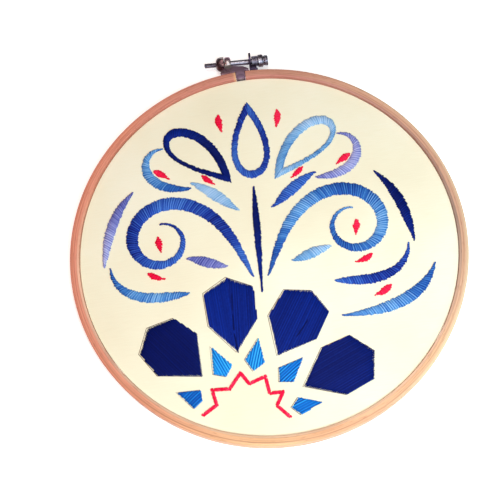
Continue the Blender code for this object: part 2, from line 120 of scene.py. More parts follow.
def steamed_beech(name, inner, tones, inmost, line, ply, sawn=None, bands=()):
    """Beech strip, planed and steamed round: pale, with fine long grain and short darker flecks.

    Its plies differ a little in tone, and their glue lines show on its front and back edges. The
    tones, and those of the inmost ply, run round from the split by way of the side left of it; the
    outer ring's are partly painted light and shade. A band has its middle in mm from the inner
    wall, half its width, how far it fades out, its tone, and its strength round the hoop.
    """
    material, add, place, shader = new_material(name, IOR=1.5)
    centred = add("Mapping", {"Vector": place, "Location": -CENTRE})
    axes = add("SeparateXYZ", {0: centred}).node.outputs
    flat = add("CombineXYZ", {0: axes[0], 1: axes[1]})
    radius = add("VectorMath", {0: flat}, out="Value", operation="LENGTH")
    back = add("Math", {0: axes[1], 1: -1.0}, operation="MULTIPLY")
    angle = add("Math", {0: axes[0], 1: back}, operation="ARCTAN2")
    around = add("Math", {0: angle, 1: inner * MM}, operation="MULTIPLY")
    across = add("Math", {0: radius, 1: axes[2]}, operation="SUBTRACT")

    # Grain lines 25 mm long and 0.5 mm apart, darker flecks 5 mm by 0.4 mm, and patches some 60 mm
    # by 8 mm where the glue lines fade in and out.
    strip = add("CombineXYZ", {0: around, 1: across})
    patterns = []
    for scale, detail in (((40, 2000, 1), 4.0), ((200, 2500, 1), 1.0), ((16, 120, 1), 2.0)):
        spread = add("Mapping", {"Vector": strip, "Scale": scale})
        patterns.append(add("TexNoise", {"Vector": spread, "Scale": 1.0, "Detail": detail}))
    grain, fleck, patch = patterns
    # From 0 at the split, round the hoop, to 1.
    turn = add("Math", {0: angle, 1: 1 / (2 * math.pi), 2: 0.5}, operation="MULTIPLY_ADD")
    body = set_ramp(add("ValToRGB", {0: turn}), tones)
    first_ply = set_ramp(add("ValToRGB", {0: turn}), inmost)

    # The plies, counted outwards, and the glue lines between them.
    depth = add("Math", {0: radius, 1: inner * MM}, operation="SUBTRACT")
    beyond = add("MapRange", {0: depth, 1: 0.9 * ply * MM, 2: 1.05 * ply * MM})
    body = add("Mix", {0: beyond, 6: first_ply, 7: body}, out=2, data_type="RGBA")
    plies = add("Math", {0: depth, 1: ply * MM}, operation="DIVIDE")
    number = add("Math", {0: plies}, operation="FLOOR")
    # Each ply has its own tone, which changes over some 110 mm.
    ply_place = add("CombineXYZ", {0: around, 1: number})
    ply_place = add("Mapping", {"Vector": ply_place, "Scale": (9, 4.7, 1)})
    ply_tone = add("TexNoise", {"Vector": ply_place, "Scale": 1.0, "Detail": 1.0})
    to_line = add("Math", {0: plies, 1: 0.5}, operation="PINGPONG")
    glue = add("MapRange", {0: to_line, 1: 0.06, 2: 0.16, 3: 1.0, 4: 0.0})
    broken = add("MapRange", {0: patch, 1: 0.38, 2: 0.62, 3: 0.1, 4: 1.0})
    glue = add("Math", {0: glue, 1: broken}, operation="MULTIPLY")

    # Each of these shades the wood between its own tone and that tone times the line colour.
    shading = (
        (ply_tone, 0.4, 0.66, 0.2),
        (grain, 0.45, 0.72, 0.4),
        (fleck, 0.62, 0.74, 0.55),
        (glue, 0.0, 1.0, 0.4),
    )
    for source, lowest, highest, strength in shading:
        amount = add("MapRange", {0: source, 1: lowest, 2: highest, 3: 0.0, 4: strength})
        shaded = {0: amount, 6: body, 7: colour(line)}
        body = add("Mix", shaded, out=2, data_type="RGBA", blend_type="MULTIPLY")
    for middle, half, fade, tone, strengths in bands:
        strength = set_ramp(add("ValToRGB", {0: turn}), strengths)
        off = add("Math", {0: depth, 1: middle * MM}, operation="SUBTRACT")
        off = add("Math", {0: off}, operation="ABSOLUTE")
        share = add("MapRange", {0: off, 1: half * MM, 2: (half + fade) * MM, 3: 1.0, 4: 0.0})
        share = add("Math", {0: share, 1: strength}, operation="MULTIPLY")
        body = add("Mix", {0: share, 6: body, 7: colour(tone)}, out=2, data_type="RGBA")
    if sawn:
        # The sawn end at the left of the split is bare and pale.
        split_end = -math.pi * inner * MM + SPLIT / 2 * MM
        end = add("MapRange", {0: around, 1: split_end, 2: split_end + 1.6 * MM, 3: 0.8, 4: 0.0})
        body = add("Mix", {0: end, 6: body, 7: colour(sawn)}, out=2, data_type="RGBA")

    # Duller over the open grain, and sunk at the glue lines.
    rough = add("MapRange", {0: grain, 1: 0.3, 2: 0.7, 3: 0.42, 4: 0.62})
    height = add("Math", {0: glue, 1: -0.8, 2: grain}, operation="MULTIPLY_ADD")
    bump = add("Bump", {"Height": height, "Strength": 0.35, "Distance": 0.08 * MM})
    feed(shader, Base_Color=body, Roughness=rough, Normal=bump)
    return material


def plain_cotton():
    """Plain-woven cotton, unbleached and pressed: matt, with faint slubs in its threads."""
    material, add, place, shader = new_material(
        "plain woven cotton", Roughness=0.92, IOR=1.45, Sheen_Weight=0.15, Sheen_Roughness=0.5
    )
    # Threads along the part's axes, as it is hooped. They are 0.45 mm apart, because the real
    # 0.3 mm is too fine to show.
    spaced = add("Mapping", {"Vector": place, "Scale": (2222, 2222, 0)})
    axes = add("SeparateXYZ", {0: spaced}).node.outputs
    warp = add("Math", {0: axes[0], 1: 0.5}, operation="PINGPONG")
    weft = add("Math", {0: axes[1], 1: 0.5}, operation="PINGPONG")
    weave = add("Math", {0: warp, 1: weft}, operation="ADD")
    # Slubs 8 mm by 0.6 mm, and a change of tone over some 70 mm.
    slub_place = add("Mapping", {"Vector": place, "Scale": (120, 1600, 1)})
    slub = add("TexNoise", {"Vector": slub_place, "Scale": 1.0, "Detail": 2.0})
    cloud = add("TexNoise", {"Vector": place, "Scale": 14.0, "Detail": 3.0})
    tone = add("Math", {0: slub, 1: 0.22, 2: cloud}, operation="MULTIPLY_ADD")
    creams = ((0.28, "#f0e4c5"), (0.61, "#f8f0d3"), (0.88, "#fdf8e2"))
    cream = set_ramp(add("ValToRGB", {0: tone}), creams)
    gap = add("MapRange", {0: weave, 1: 0.0, 2: 0.35, 3: 0.12, 4: 0.0})
    mixed = add("Mix", {0: gap, 6: cream, 7: colour("#c9b48c")}, out=2, data_type="RGBA")
    height = add("Math", {0: slub, 1: 0.6, 2: weave}, operation="MULTIPLY_ADD")
    bump = add("Bump", {"Height": height, "Strength": 0.25, "Distance": 0.08 * MM})
    feed(shader, Base_Color=mixed, Normal=bump)
    return material


def stranded_cotton(name, stops):
    """Mercerised six-strand cotton: each stitch has its own tone, with a soft sheen along it."""
    material, add, place, shader = new_material(name, IOR=1.5, Specular_IOR_Level=0.08)
    shade = add("Attribute", out="Fac", attribute_name="shade")
    thread = add("UVMap", uv_map="thread")
    # The strands lie side by side and slightly twisted, seven round a stitch: three or four show.
    parts = add("SeparateXYZ", {0: thread}).node.outputs
    twist = add("Math", {0: parts[1], 1: 0.35, 2: parts[0]}, operation="MULTIPLY_ADD")
    strands = add("Math", {0: twist, 1: 7.0}, operation="MULTIPLY")
    strand = add("Math", {0: strands, 1: 0.5}, operation="PINGPONG")
    # Fuzz of about 1 mm.
    fuzz = add("TexNoise", {"Vector": place, "Scale": 900.0, "Detail": 2.0})
    # Painted shade: darker where a stitch rolls down against the next one.
    flank = add("Attribute", out="Fac", attribute_name="flank")
    sunk = add("MapRange", {0: flank, 1: 0.45, 2: 0.95, 3: 0.0, 4: 0.4})
    tone = add("Math", {0: shade, 1: sunk}, operation="SUBTRACT")
    tone = add("Math", {0: strand, 1: 0.22, 2: tone}, operation="MULTIPLY_ADD")
    tone = add("Math", {0: fuzz, 1: 0.16, 2: tone}, operation="MULTIPLY_ADD")
    tone = add("Math", {0: tone, 1: 0.1}, operation="SUBTRACT")
    dye = set_ramp(add("ValToRGB", {0: tone}), stops)
    rough = add("MapRange", {0: strand, 1: 0.0, 2: 0.5, 3: 0.62, 4: 0.42})
    bump = add("Bump", {"Height": strand, "Strength": 0.4, "Distance": 0.1 * MM})
    feed(shader, Base_Color=dye, Roughness=rough, Normal=bump)
    return material


def worn_and_highlit_metal(name, bright, dark, stain_size, dull, shiny, patches=()):
    """Plated or bronzed metal, dull where it is stained, with patches of their own tone and
    roughness.

    Its stains have their size in mm, and the two last values are their roughness and that of the
    clean metal. A patch has its middle in mm, how far it reaches, its tone and its roughness; some
    patches are painted highlights.
    """
    material, add, place, shader = new_material(name, Metallic=1.0)
    stains = {"Vector": place, "Scale": 1 / (stain_size * MM), "Detail": 5.0, "Roughness": 0.65}
    stain = add("TexNoise", stains)
    base = set_ramp(add("ValToRGB", {0: stain}), ((0.38, dark), (0.66, bright)))
    rough = add("MapRange", {0: stain, 1: 0.35, 2: 0.65, 3: dull, 4: shiny})
    # Patches mix in their own tone and roughness; some of them are painted highlights.
    for middle, reach, tone, smooth in patches:
        ends = {0: place, 1: CENTRE + Vector(middle) * MM}
        away = add("VectorMath", ends, out="Value", operation="DISTANCE")
        bare = add("MapRange", {0: away, 1: 0.7 * reach * MM, 2: reach * MM, 3: 1.0, 4: 0.0})
        base = add("Mix", {0: bare, 6: base, 7: colour(tone)}, out=2, data_type="RGBA")
        rough = add("Mix", {0: bare, 2: rough, 3: smooth})
    # Polishing scratches 3 mm by 0.2 mm.
    scratch_place = add("Mapping", {"Vector": place, "Scale": (300, 5000, 5000)})
    scratch = add("TexNoise", {"Vector": scratch_place, "Scale": 1.0, "Detail": 2.0})
    bump = add("Bump", {"Height": scratch, "Strength": 0.1, "Distance": 0.02 * MM})
    feed(shader, Base_Color=base, Roughness=rough, Normal=bump)
    return material


def drawn_line():
    """Brown transfer pencil on cotton: a matt line, darker and lighter every 2 or 3 mm."""
    material, add, place, shader = new_material("brown pencil", Roughness=0.9, IOR=1.45)
    press = add("TexNoise", {"Vector": place, "Scale": 400.0, "Detail": 3.0})
    browns = ((0.35, "#2e160e"), (0.7, "#844c34"))
    feed(shader, Base_Color=set_ramp(add("ValToRGB", {0: press}), browns))
    return material


# The dyes, from the deepest shade to the palest.
THREADS = {
    "navy": ((0.0, "#000530"), (0.5, "#041460"), (1.0, "#0c34aa")),
    "royal": ((0.0, "#0a1456"), (0.3, "#14268a"), (0.62, "#2a50b4"), (1.0, "#5288da")),
    "mid": ((0.0, "#102a80"), (0.35, "#2556ae"), (0.65, "#4486cc"), (1.0, "#92c4f0")),
    "sky": ((0.0, "#2a58a4"), (0.35, "#5f9ad0"), (0.65, "#90bce6"), (1.0, "#c2dcf8")),
    "periwinkle": ((0.0, "#363c8c"), (0.35, "#666cba"), (0.65, "#9498d6"), (1.0, "#c8ccf0")),
    "turquoise": ((0.0, "#0a48a4"), (0.4, "#1272d0"), (0.7, "#2098ec"), (1.0, "#3cb8f8")),
    "red": ((0.0, "#be0024"), (0.5, "#fa0c42"), (1.0, "#ff426c")),
}
COTTON = plain_cotton()
PENCIL = drawn_line()
SCREW_STEEL = worn_and_highlit_metal(
    "nickel-plated steel",
    bright="#a09da8",
    dark="#645c6c",
    stain_size=2.2,
    dull=0.5,
    shiny=0.32,
    # The shank between the brackets, evenly pale and smoother: a painted highlight there.
    patches=(((-0.6, 112.7, 4.8), 4.6, "#918e9c", 0.36),),
)
PLATE_STEEL = worn_and_highlit_metal(
    "dulled nickel-plated steel",
    bright="#c8a8b8",
    dark="#907086",
    stain_size=1.6,
    dull=0.55,
    shiny=0.4,
    # A patch on its top edge, a darker one on the tongue in the split, and painted highlights on
    # the tongue's foot and the lug.
    patches=(
        ((0.0, 105.4, 7.8), 5.6, "#aa8ca6", 0.5),
        ((0.0, 100.3, 8.6), 3.8, "#7a647a", 0.5),
        ((0.0, 97.6, 6.4), 4.0, "#b4a4b8", 0.5),
        ((-6.0, 110.6, 8.4), 3.0, "#b6acae", 0.45),
    ),
)
# Painted shade: the right bracket's steel is darker than the left one's, as it stands beside and
# under the screw's head.
SHADED_EAR_STEEL = worn_and_highlit_metal(
    "bracket steel with painted shade", bright="#584e6c", dark="#383042", stain_size=1.6, dull=0.5, shiny=0.35
)
BRONZE = worn_and_highlit_metal(
    "bronzed brass", bright="#7e6466", dark="#3a2830", stain_size=1.8, dull=0.42, shiny=0.28
)
# Two bands on the outer ring, and how strong they are round it: a painted highlight along its
# outer edge on the lower right, where light falls, and a glue line that has opened at the foot.
PAINTED_EDGE_HIGHLIGHT = ((0.56, 0), (0.6, 0.3), (0.64, 0.6), (0.7, 0.45), (0.8, 0.35), (0.87, 0.2), (0.94, 0))
OPENED_LINE = ((0.3, 0), (0.36, 0.5), (0.42, 0.6), (0.58, 0.45), (0.64, 0))
OUTER_BEECH = steamed_beech(
    "varnished steamed beech",
    inner=HOOP_RADIUS - HOOP_WALL,
    # Partly the wood's own tone and partly painted light: paler at the foot and lower right, where
    # light falls, and darker on the left.
    tones=(
        (0.0, "#d38e7b"), (0.12, "#f09a7d"), (0.27, "#e8957a"),
        (0.36, "#e39676"), (0.47, "#f8c48f"), (0.55, "#f8bd8f"),
        (0.63, "#edbc90"), (0.68, "#e2b492"), (0.75, "#d5a688"),
        (0.87, "#e0ac8e"), (1.0, "#d4947e"),
    ),
    # Painted light on the inmost ply: a pale painted highlight along the inner edge on the left,
    # and painted shade along it on the right.
    inmost=(
        (0.0, "#db8c7c"), (0.13, "#ea9478"), (0.18, "#ea997b"),
        (0.27, "#fcc8a9"), (0.33, "#dbaa8f"), (0.45, "#e1b894"),
        (0.63, "#edbe9d"), (0.75, "#ae9384"), (1.0, "#db8c7c"),
    ),
    line="#b07a62",
    ply=1.25,
    sawn="#eebc88",
    bands=(
        # Painted highlight along the outer edge.
        (5.0, 1.0, 1.2, "#fbe4b8", PAINTED_EDGE_HIGHLIGHT),
        (3.4, 0.12, 0.25, "#a8683f", OPENED_LINE),
    ),
)
INNER_BEECH = steamed_beech(
    "bare steamed beech",
    inner=INNER_RADIUS - INNER_WALL,
    tones=((0.0, "#dcb08a"), (0.5, "#eccaa2"), (1.0, "#dcb08a")),
    inmost=((0.0, "#e0b690"), (0.5, "#f0d0aa"), (1.0, "#e0b690")),
    line="#b8875f",
    ply=1.5,
)
THREAD_MATERIALS = {
    name: stranded_cotton(name + " stranded cotton", stops) for name, stops in THREADS.items()
}

# -------- making pieces


def deselect():
    if bpy.context.mode != "OBJECT":
        bpy.ops.object.mode_set(mode="OBJECT")
    bpy.ops.object.select_all(action="DESELECT")


def select_only(piece):
    deselect()
    piece.select_set(True)
    bpy.context.view_layer.objects.active = piece


def start_piece(name, add, stretch=(1, 1, 1), **settings):
    """Adds a primitive at its size and place, with everything else deselected."""
    deselect()
    add(**settings)
    piece = bpy.context.object
    piece.name = piece.data.name = name
    piece.scale = stretch
    bpy.ops.object.transform_apply(location=True, rotation=True, scale=True)
    return piece


def mesh_piece(name, places, faces):
    mesh = bpy.data.meshes.new(name)
    mesh.from_pydata(places, [], faces)
    piece = bpy.data.objects.new(name, mesh)
    add_to_scene(piece)
    return piece


def select_where(piece, kind, test):
    """In edit mode, selects the vertices or faces whose middle passes the test."""
    bpy.ops.object.mode_set(mode="OBJECT")
    for group in (piece.data.vertices, piece.data.edges, piece.data.polygons):
        group.foreach_set("select", [False] * len(group))
    parts = piece.data.vertices if kind == "VERT" else piece.data.polygons
    for part in parts:
        part.select = bool(test(part.co if kind == "VERT" else part.center))
    bpy.ops.object.mode_set(mode="EDIT")
    bpy.ops.mesh.select_mode(type=kind)


def edit_all(piece):
    select_only(piece)
    bpy.ops.object.mode_set(mode="EDIT")
    bpy.ops.mesh.select_all(action="SELECT")


def turn_outwards(piece, close=False):
    """Turns all faces outwards, after closing the mesh where it was grown open."""
    edit_all(piece)
    if close:
        bpy.ops.mesh.remove_doubles(threshold=1e-7)
        bpy.ops.mesh.fill_holes(sides=0)
    bpy.ops.mesh.normals_make_consistent(inside=False)
    bpy.ops.object.mode_set(mode="OBJECT")


def apply_modifier(piece, kind, **settings):
    select_only(piece)
    modifier = piece.modifiers.new(kind.title(), kind)
    for name, value in settings.items():
        setattr(modifier, name, value)
    bpy.ops.object.modifier_apply(modifier=modifier.name)


def put_in_place(piece, place, turn, sharp):
    """Moves and turns a piece made round the origin, and shades it smooth up to that angle."""
    piece.location = place
    piece.rotation_euler.z = turn
    select_only(piece)
    bpy.ops.object.transform_apply(location=True, rotation=True)
    bpy.ops.object.shade_smooth_by_angle(angle=math.radians(sharp))


def finish_piece(piece, body, material):
    deselect()
    piece.data.materials.clear()
    piece.data.materials.append(material)
    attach(piece, body)


# -------- the rings and the cloth

# Steps round a ring, and how near to a corner or an edge counts as on it.
SPIN_STEPS, NEAR = 256, 0.02 * MM
# The bevel of a square corner that rounds it by 1.
ROUNDING = 0.5858
# The cloth starts as a disc. Its face grows out to these radii, and its edge down to these heights.
CLOTH_SIDES, DISC_RADIUS, FOLD = 180, 8.0, 0.35
FACE_RADII = (16, 26, 36, 46, 56, 65, 73, 80, 86, 91, 95, 97.4)
EDGE_HEIGHTS = (5.0, 3.6, 2.2, CLOTH_TRIM)
# Being pulled over the ring leaves it slightly uneven, in waves: how many round the hoop, how
# strong and where they start. A wave of strength 1 is this deep each way.
PULLS = ((11, 1.0, 0.7), (17, 0.7, 2.1), (29, 0.6, 0.0))
PULL_DEPTH = 0.05


def bent_band(name, inner, outer, depth, rounds, split):
    """A band of wood: its section is bevelled at each corner, then spun round the hoop.

    The rounds say how round each corner is, and in how many steps: front inner and outer, then
    back outer and inner.
    """
    piece = start_piece(
        name,
        bpy.ops.mesh.primitive_plane_add,
        size=1,
        location=((inner + outer) / 2 * MM, 0, depth / 2 * MM),
        rotation=(math.pi / 2, 0, 0),
        stretch=((outer - inner) * MM, depth * MM, 1),
    )
    corners = ((inner, depth), (outer, depth), (outer, 0), (inner, 0))
    for (radial, height), (radius, steps) in zip(corners, rounds):
        corner = Vector((radial * MM, 0, height * MM))
        select_where(piece, "VERT", lambda place: (place - corner).length < NEAR)
        offset = radius * MM * ROUNDING
        bpy.ops.mesh.bevel(offset=offset, segments=steps, affect="VERTICES", profile=0.5)
    bpy.ops.mesh.select_all(action="SELECT")
    gap = split / outer
    bpy.ops.mesh.spin(
        steps=SPIN_STEPS,
        angle=2 * math.pi - gap,
        center=(0, 0, 0),
        axis=(0, 0, 1),
        use_auto_merge=not split,
    )
    turn_outwards(piece, close=True)
    put_in_place(piece, CENTRE, math.pi / 2 - gap / 2, 40)
    return piece


def make_rings():
    inner, rounds = HOOP_RADIUS - HOOP_WALL, ((0.5, 2), (1.5, 5), (0.9, 3), (0.7, 2))
    ring = bent_band("outer_ring", inner, HOOP_RADIUS, HOOP_DEPTH, rounds, SPLIT)
    finish_piece(ring, HOOP_BODY, OUTER_BEECH)
    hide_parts("outer_hoop")
    inner, rounds = INNER_RADIUS - INNER_WALL, ((0.7, 2),) * 4
    ring = bent_band("inner_ring", inner, INNER_RADIUS, INNER_DEPTH, rounds, 0)
    finish_piece(ring, HOOP_BODY, INNER_BEECH)
    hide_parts("inner_hoop")


def make_cotton():
    """The cotton, grown ring by ring from its middle, over the shoulder and down to its edge."""
    cloth = start_piece(
        "cotton_cloth",
        bpy.ops.mesh.primitive_circle_add,
        vertices=CLOTH_SIDES,
        radius=DISC_RADIUS * MM,
        fill_type="TRIFAN",
        location=(0, 0, CLOTH_TOP * MM),
    )
    stations = [(radius, CLOTH_TOP) for radius in FACE_RADII]
    stations += [
        (CLOTH_RADIUS - FOLD + FOLD * math.sin(turn), CLOTH_TOP - FOLD + FOLD * math.cos(turn))
        for turn in (0, 0.4, 0.8, 1.2, math.pi / 2)
    ]
    stations += [(CLOTH_RADIUS, height) for height in EDGE_HEIGHTS]
    radius, height = DISC_RADIUS, CLOTH_TOP
    for next_radius, next_height in stations:
        select_where(
            cloth,
            "VERT",
            lambda place: abs(place.xy.length - radius * MM) < NEAR
            and abs(place.z - height * MM) < NEAR,
        )
        bpy.ops.mesh.extrude_edges_move(
            TRANSFORM_OT_translate={"value": (0, 0, (next_height - height) * MM)}
        )
        grow = next_radius / radius
        bpy.ops.transform.resize(value=(grow, grow, 1), center_override=(0, 0, next_height * MM))
        radius, height = next_radius, next_height
    bpy.ops.object.mode_set(mode="OBJECT")
    # The waves start 70 mm out, are full from 90 to 93 mm, and end at 99 mm. They only go down.
    crest = sum(strength for _, strength, _ in PULLS)
    for vertex in cloth.data.vertices:
        out = vertex.co.xy.length / MM
        turn = math.atan2(vertex.co.y, vertex.co.x)
        pull = sum(strength * math.sin(waves * turn + start) for waves, strength, start in PULLS)
        rise = max(0.0, min((out - 70) / 20, (99 - out) / 6, 1.0))
        vertex.co.z += PULL_DEPTH * MM * rise * (pull - crest)
    turn_outwards(cloth)
    apply_modifier(cloth, "SOLIDIFY", thickness=CLOTH_THICK * MM, offset=-1.0)
    put_in_place(cloth, CENTRE, 0, 50)
    finish_piece(cloth, HOOP_BODY, COTTON)
    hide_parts("cotton_ground")


# -------- the clamp

SCREW_Y, SCREW_Z, SCREW_SKEW = HOOP_RADIUS + 7.7, 4.8, math.radians(-3.6)
HEAD_START, HEAD_LENGTH, SCREW_TAIL = 7.5, 9.4, -19.4
THREAD_RADIUS, THREAD_PITCH, THREAD_END, SHANK_RADIUS = 1.4, 0.7, -7.8, 1.6
THREAD_DEPTH, TAIL_CHAMFER, SCREW_SIDES = 0.12, 0.5, 28
# The shank, the fluted collar with its flange, and the slotted end: places from the head's
# start, with the radius at each.
SHANK = ((-15.1, SHANK_RADIUS), (0.0, SHANK_RADIUS))
COLLAR = ((0.02, 2.7), (0.3, 3.05), (3.5, 3.05), (3.7, 3.3), (4.0, 3.6), (5.9, 3.6), (6.4, 3.4))
SLOTTED = ((6.7, 2.6), (7.0, 2.6), (7.2, 2.85), (7.4, 2.95), (8.7, 2.95), (9.15, 2.8))
HEAD = (*COLLAR, *SLOTTED, (HEAD_LENGTH, 2.4))
# Flutes in the collar, and finer ones in the end: from where to where on the head, and how deep.
FLUTES = ((0.4, 3.4, 0.28), (7.4, 8.7, 0.14))
FLUTED_RADIUS, FLUTE_EDGE = 2.7, 0.08
# The cutter for the slot, along the screw, across it and up.
SLOT = (1.8, 9, 1.0)


def turned_bar(name, stations, sides):
    """A round bar along x, grown from one end by extruding and resizing its end face."""
    place, radius = stations[0]
    bar = start_piece(
        name,
        bpy.ops.mesh.primitive_circle_add,
        vertices=sides,
        radius=radius * MM,
        fill_type="NGON",
        location=(place * MM, 0, 0),
        rotation=(0, math.pi / 2, 0),
    )
    edit_all(bar)
    for next_place, next_radius in stations[1:]:
        bpy.ops.mesh.extrude_region_move(
            TRANSFORM_OT_translate={"value": ((next_place - place) * MM, 0, 0)}
        )
        grow = next_radius / radius
        bpy.ops.transform.resize(value=(1, grow, grow), center_override=(next_place * MM, 0, 0))
        place, radius = next_place, next_radius
    turn_outwards(bar, close=True)
    return bar


def in_flute(place, first, last):
    """Whether a side of the head lies between those places and is every other one round it."""
    along = place.x / MM - HEAD_START
    out = math.hypot(place.y, place.z) / MM
    share = math.atan2(place.z, place.y) / (2 * math.pi) + 0.5
    side = int(share * SCREW_SIDES + 0.01)
    return first < along < last and out > FLUTED_RADIUS and side % 2 == 0


def make_thumb_screw():
    """A thumb screw: rolled thread, a fluted collar, a flange, a groove and a slotted end."""
    stations = [(SCREW_TAIL, THREAD_RADIUS - TAIL_CHAMFER)]
    for turn in range(round((THREAD_END - SCREW_TAIL) / THREAD_PITCH)):
        place = SCREW_TAIL + TAIL_CHAMFER + THREAD_PITCH * turn
        stations.append((place, THREAD_RADIUS))
        stations.append((place + THREAD_PITCH / 2, THREAD_RADIUS - THREAD_DEPTH))
    stations += [(HEAD_START + place, radius) for place, radius in (*SHANK, *HEAD)]
    screw = turned_bar("thumb_screw", stations, SCREW_SIDES)
    for first, last, sink in FLUTES:
        select_where(screw, "FACE", lambda place: in_flute(place, first, last))
        bpy.ops.mesh.inset(thickness=FLUTE_EDGE * MM, depth=-sink * MM, use_individual=True)
    cutter = start_piece(
        "slot_cutter",
        bpy.ops.mesh.primitive_cube_add,
        size=1,
        location=((HEAD_START + HEAD_LENGTH) * MM, 0, 0),
        stretch=[side * MM for side in SLOT],
    )
    apply_modifier(screw, "BOOLEAN", operation="DIFFERENCE", object=cutter, solver="EXACT")
    bpy.data.objects.remove(cutter, do_unlink=True)
    put_in_place(screw, CENTRE + Vector((0, SCREW_Y, SCREW_Z)) * MM, SCREW_SKEW, 32)
    finish_piece(screw, SCREW_BODY, SCREW_STEEL)
    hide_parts("clamp_screw")


def softened_copy(name, node, width, material):
    """The CAD node's own shape, with its sharp edges worn round."""
    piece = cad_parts[node].copy()
    piece.data = piece.data.copy()
    piece.name = piece.data.name = name
    piece.parent = None
    add_to_scene(piece)
    piece.matrix_world = Matrix.Identity(4)
    for key in list(piece.keys()):
        del piece[key]
    edit_all(piece)
    bpy.ops.mesh.remove_doubles(threshold=1e-6)
    bpy.ops.mesh.dissolve_limited(angle_limit=math.radians(2))
    turn_outwards(piece)
    sharp = {"limit_method": "ANGLE", "angle_limit": math.radians(35)}
    apply_modifier(piece, "BEVEL", width=width * MM, segments=2, **sharp)
    bpy.ops.object.shade_smooth_by_angle(angle=math.radians(32))
    finish_piece(piece, HOOP_BODY, material)
    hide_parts(node)


# -------- stitching

# How many sides a thread has, where it is cut along a stitch, and how far its ends are drawn in.
THREAD_SIDES, STITCH_CUTS, DRAWN_IN = 8, (-0.44, -0.3, -0.12, 0.12, 0.3, 0.44), 0.45
THREAD_WIDTH, STEM_WIDTH, THREAD_HEIGHT = 0.8, 1.05, 0.5
# Stitches lie 0.62 mm apart, because the real 0.3 to 0.4 mm is too fine to show.
PITCH = 0.62
# How high the middle of a thread is where it enters the cloth.
ENTRY_HEIGHT = 0.05
CLOTH_BACK = CLOTH_TOP - CLOTH_THICK

# The rosette, in mm and degrees from its centre. Spreads go to either side of a shape's axis,
# lay is the heading of its stitches, and tone is how deep or pale they are, from 0 for the dye's
# deepest shade to 1. The petals' tones are partly painted sheen: petals 2 and 3 are paler, as
# their stitches catch the light.
ROSETTE = Vector((-24.0, -87.0))
Petal = namedtuple("Petal", "axis tip near near_spread far far_spread point lay seam tone")
PETALS = (
    Petal(130, 30.0, 49.3, 17.0, 63.2, 11.5, 68.5, 128, 0, 0.42),
    Petal(90, 32.5, 49.9, 14.5, 67.3, 11.1, 73.0, 88, 1, 0.68),
    Petal(54, 34.2, 52.5, 15.0, 68.0, 10.8, 72.7, 56, 0, 0.6),
    Petal(18, 32.0, 51.1, 15.2, 66.4, 11.0, 72.4, 21, 0, 0.52),
)
Kite = namedtuple("Kite", "axis near side spread far lay tone")
KITES = (
    Kite(153, 23.5, 26.5, 10.6, 37.0, 36, 0.2),
    Kite(109, 22.1, 26.7, 11.0, 39.7, 112, 0.66),
    Kite(73, 22.6, 28.3, 10.0, 39.8, 70, 0.6),
    Kite(37, 23.5, 29.0, 10.0, 40.8, 33, 0.42),
    Kite(1, 23.0, 27.4, 9.0, 38.5, 18, 0.33),
)
PETAL_CONTRAST, KITE_CONTRAST = 0.11, 0.42
# How far the two halves of a petal with a seam overlap, and how each of them is laid.
SEAM_OVERLAP, SEAM_LAYS = 0.4, (-3, 4)
# Along a dark line in a petal, one more darker thread is laid: painted shade for the line where
# its threads lie in each other's shadow. It stands high enough to show.
PETAL_SHADE_LINES = {
    2: ((-22.5, -22.1), (-23.6, -33.6), (-24.3, -43.8), (-23.7, -54.0)),
    3: ((15.0, -42.6), (5.8, -52.8)),
}
SHADE_LINE_REACH, SHADE_LINE_ARCH, SHADE_LINE_FLAT, SHADE_LINE_TONE = 0.8, 0.68, 8.0, -0.36
STAR_OUTER, STAR_INNER, STAR_WIDTH = 21.7, 15.9, 1.8
STAR_ANGLES = (-11, 9, 24, 35, 56, 77, 90, 114, 135, 152, 171)
# Stem stitch: from one to the next, half a stitch, half of one at a corner, and its slant.
STEM_STEP, STEM_HALF, CORNER_HALF, STEM_SLANT = 1.1, 1.3, 0.7, 0.08

# The spray is laid out across and up from its root, on a slightly tilted axis, and mirrored.
# Lengths are in mm, headings in degrees on the right-hand side, and bends in degrees per mm.
# Peak is where along it a stroke is widest. The last two name the thread on each side.
SPRAY_ROOT, SPRAY_TILT = Vector((-7.0, -28.0)), -4.0
Stroke = namedtuple("Stroke", "name across up heading length bend end_bend widest peak right left")
STROKES = (
    Stroke("scroll", 4, 12, 68, 158, 0.15, -5.7, 7.0, 0.42, "mid", "royal"),
    Stroke("blade", 9, 50, 38, 31, 0.6, -1.6, 6.0, 0.5, "royal", "sky"),
    Stroke("curl", 34, 65, 2, 47, 0.4, 7.6, 5.2, 0.42, "periwinkle", "mid"),
    Stroke("rim_leaf", 82, 24, 96, 46, 0.3, 1.5, 5.4, 0.5, "navy", "periwinkle"),
    Stroke("low_leaf", 38, 6, -4, 50, -0.4, 4.2, 5.2, 0.4, "royal", "mid"),
    Stroke("leaflet", 17, 19, 12, 22, 1.2, -1.2, 5.4, 0.5, "sky", "periwinkle"),
    Stroke("stem", 0, 3, 90, 60, 0, 0, 3.6, 0.6, "navy", None),
    Stroke("sweep", 40.1, -13.2, 2, 60, 0.1, 2.2, 6.2, 0.55, "mid", None),
    Stroke("eye_bud", 51.7, 30, 80, 9, 0, 0, 3.4, 0.6, "red", "red"),
    Stroke("blade_bud", 20.8, 66.0, 41, 9, 0, 0, 3.0, 0.6, "red", "red"),
    Stroke("tip_bud", 15, 97, 72, 11, 2, 2, 3.6, 0.6, "red", "red"),
    Stroke("curl_bud", 45.5, 71.5, 44, 10, -2, -2, 3.6, 0.6, "red", "red"),
    Stroke("low_bud", 50, 15, 8, 10, 3, 3, 3.2, 0.6, "red", "red"),
    Stroke("sweep_bud", 57.5, -4.0, 16, 11, 2, 2, 3.6, 0.6, "red", None),
)
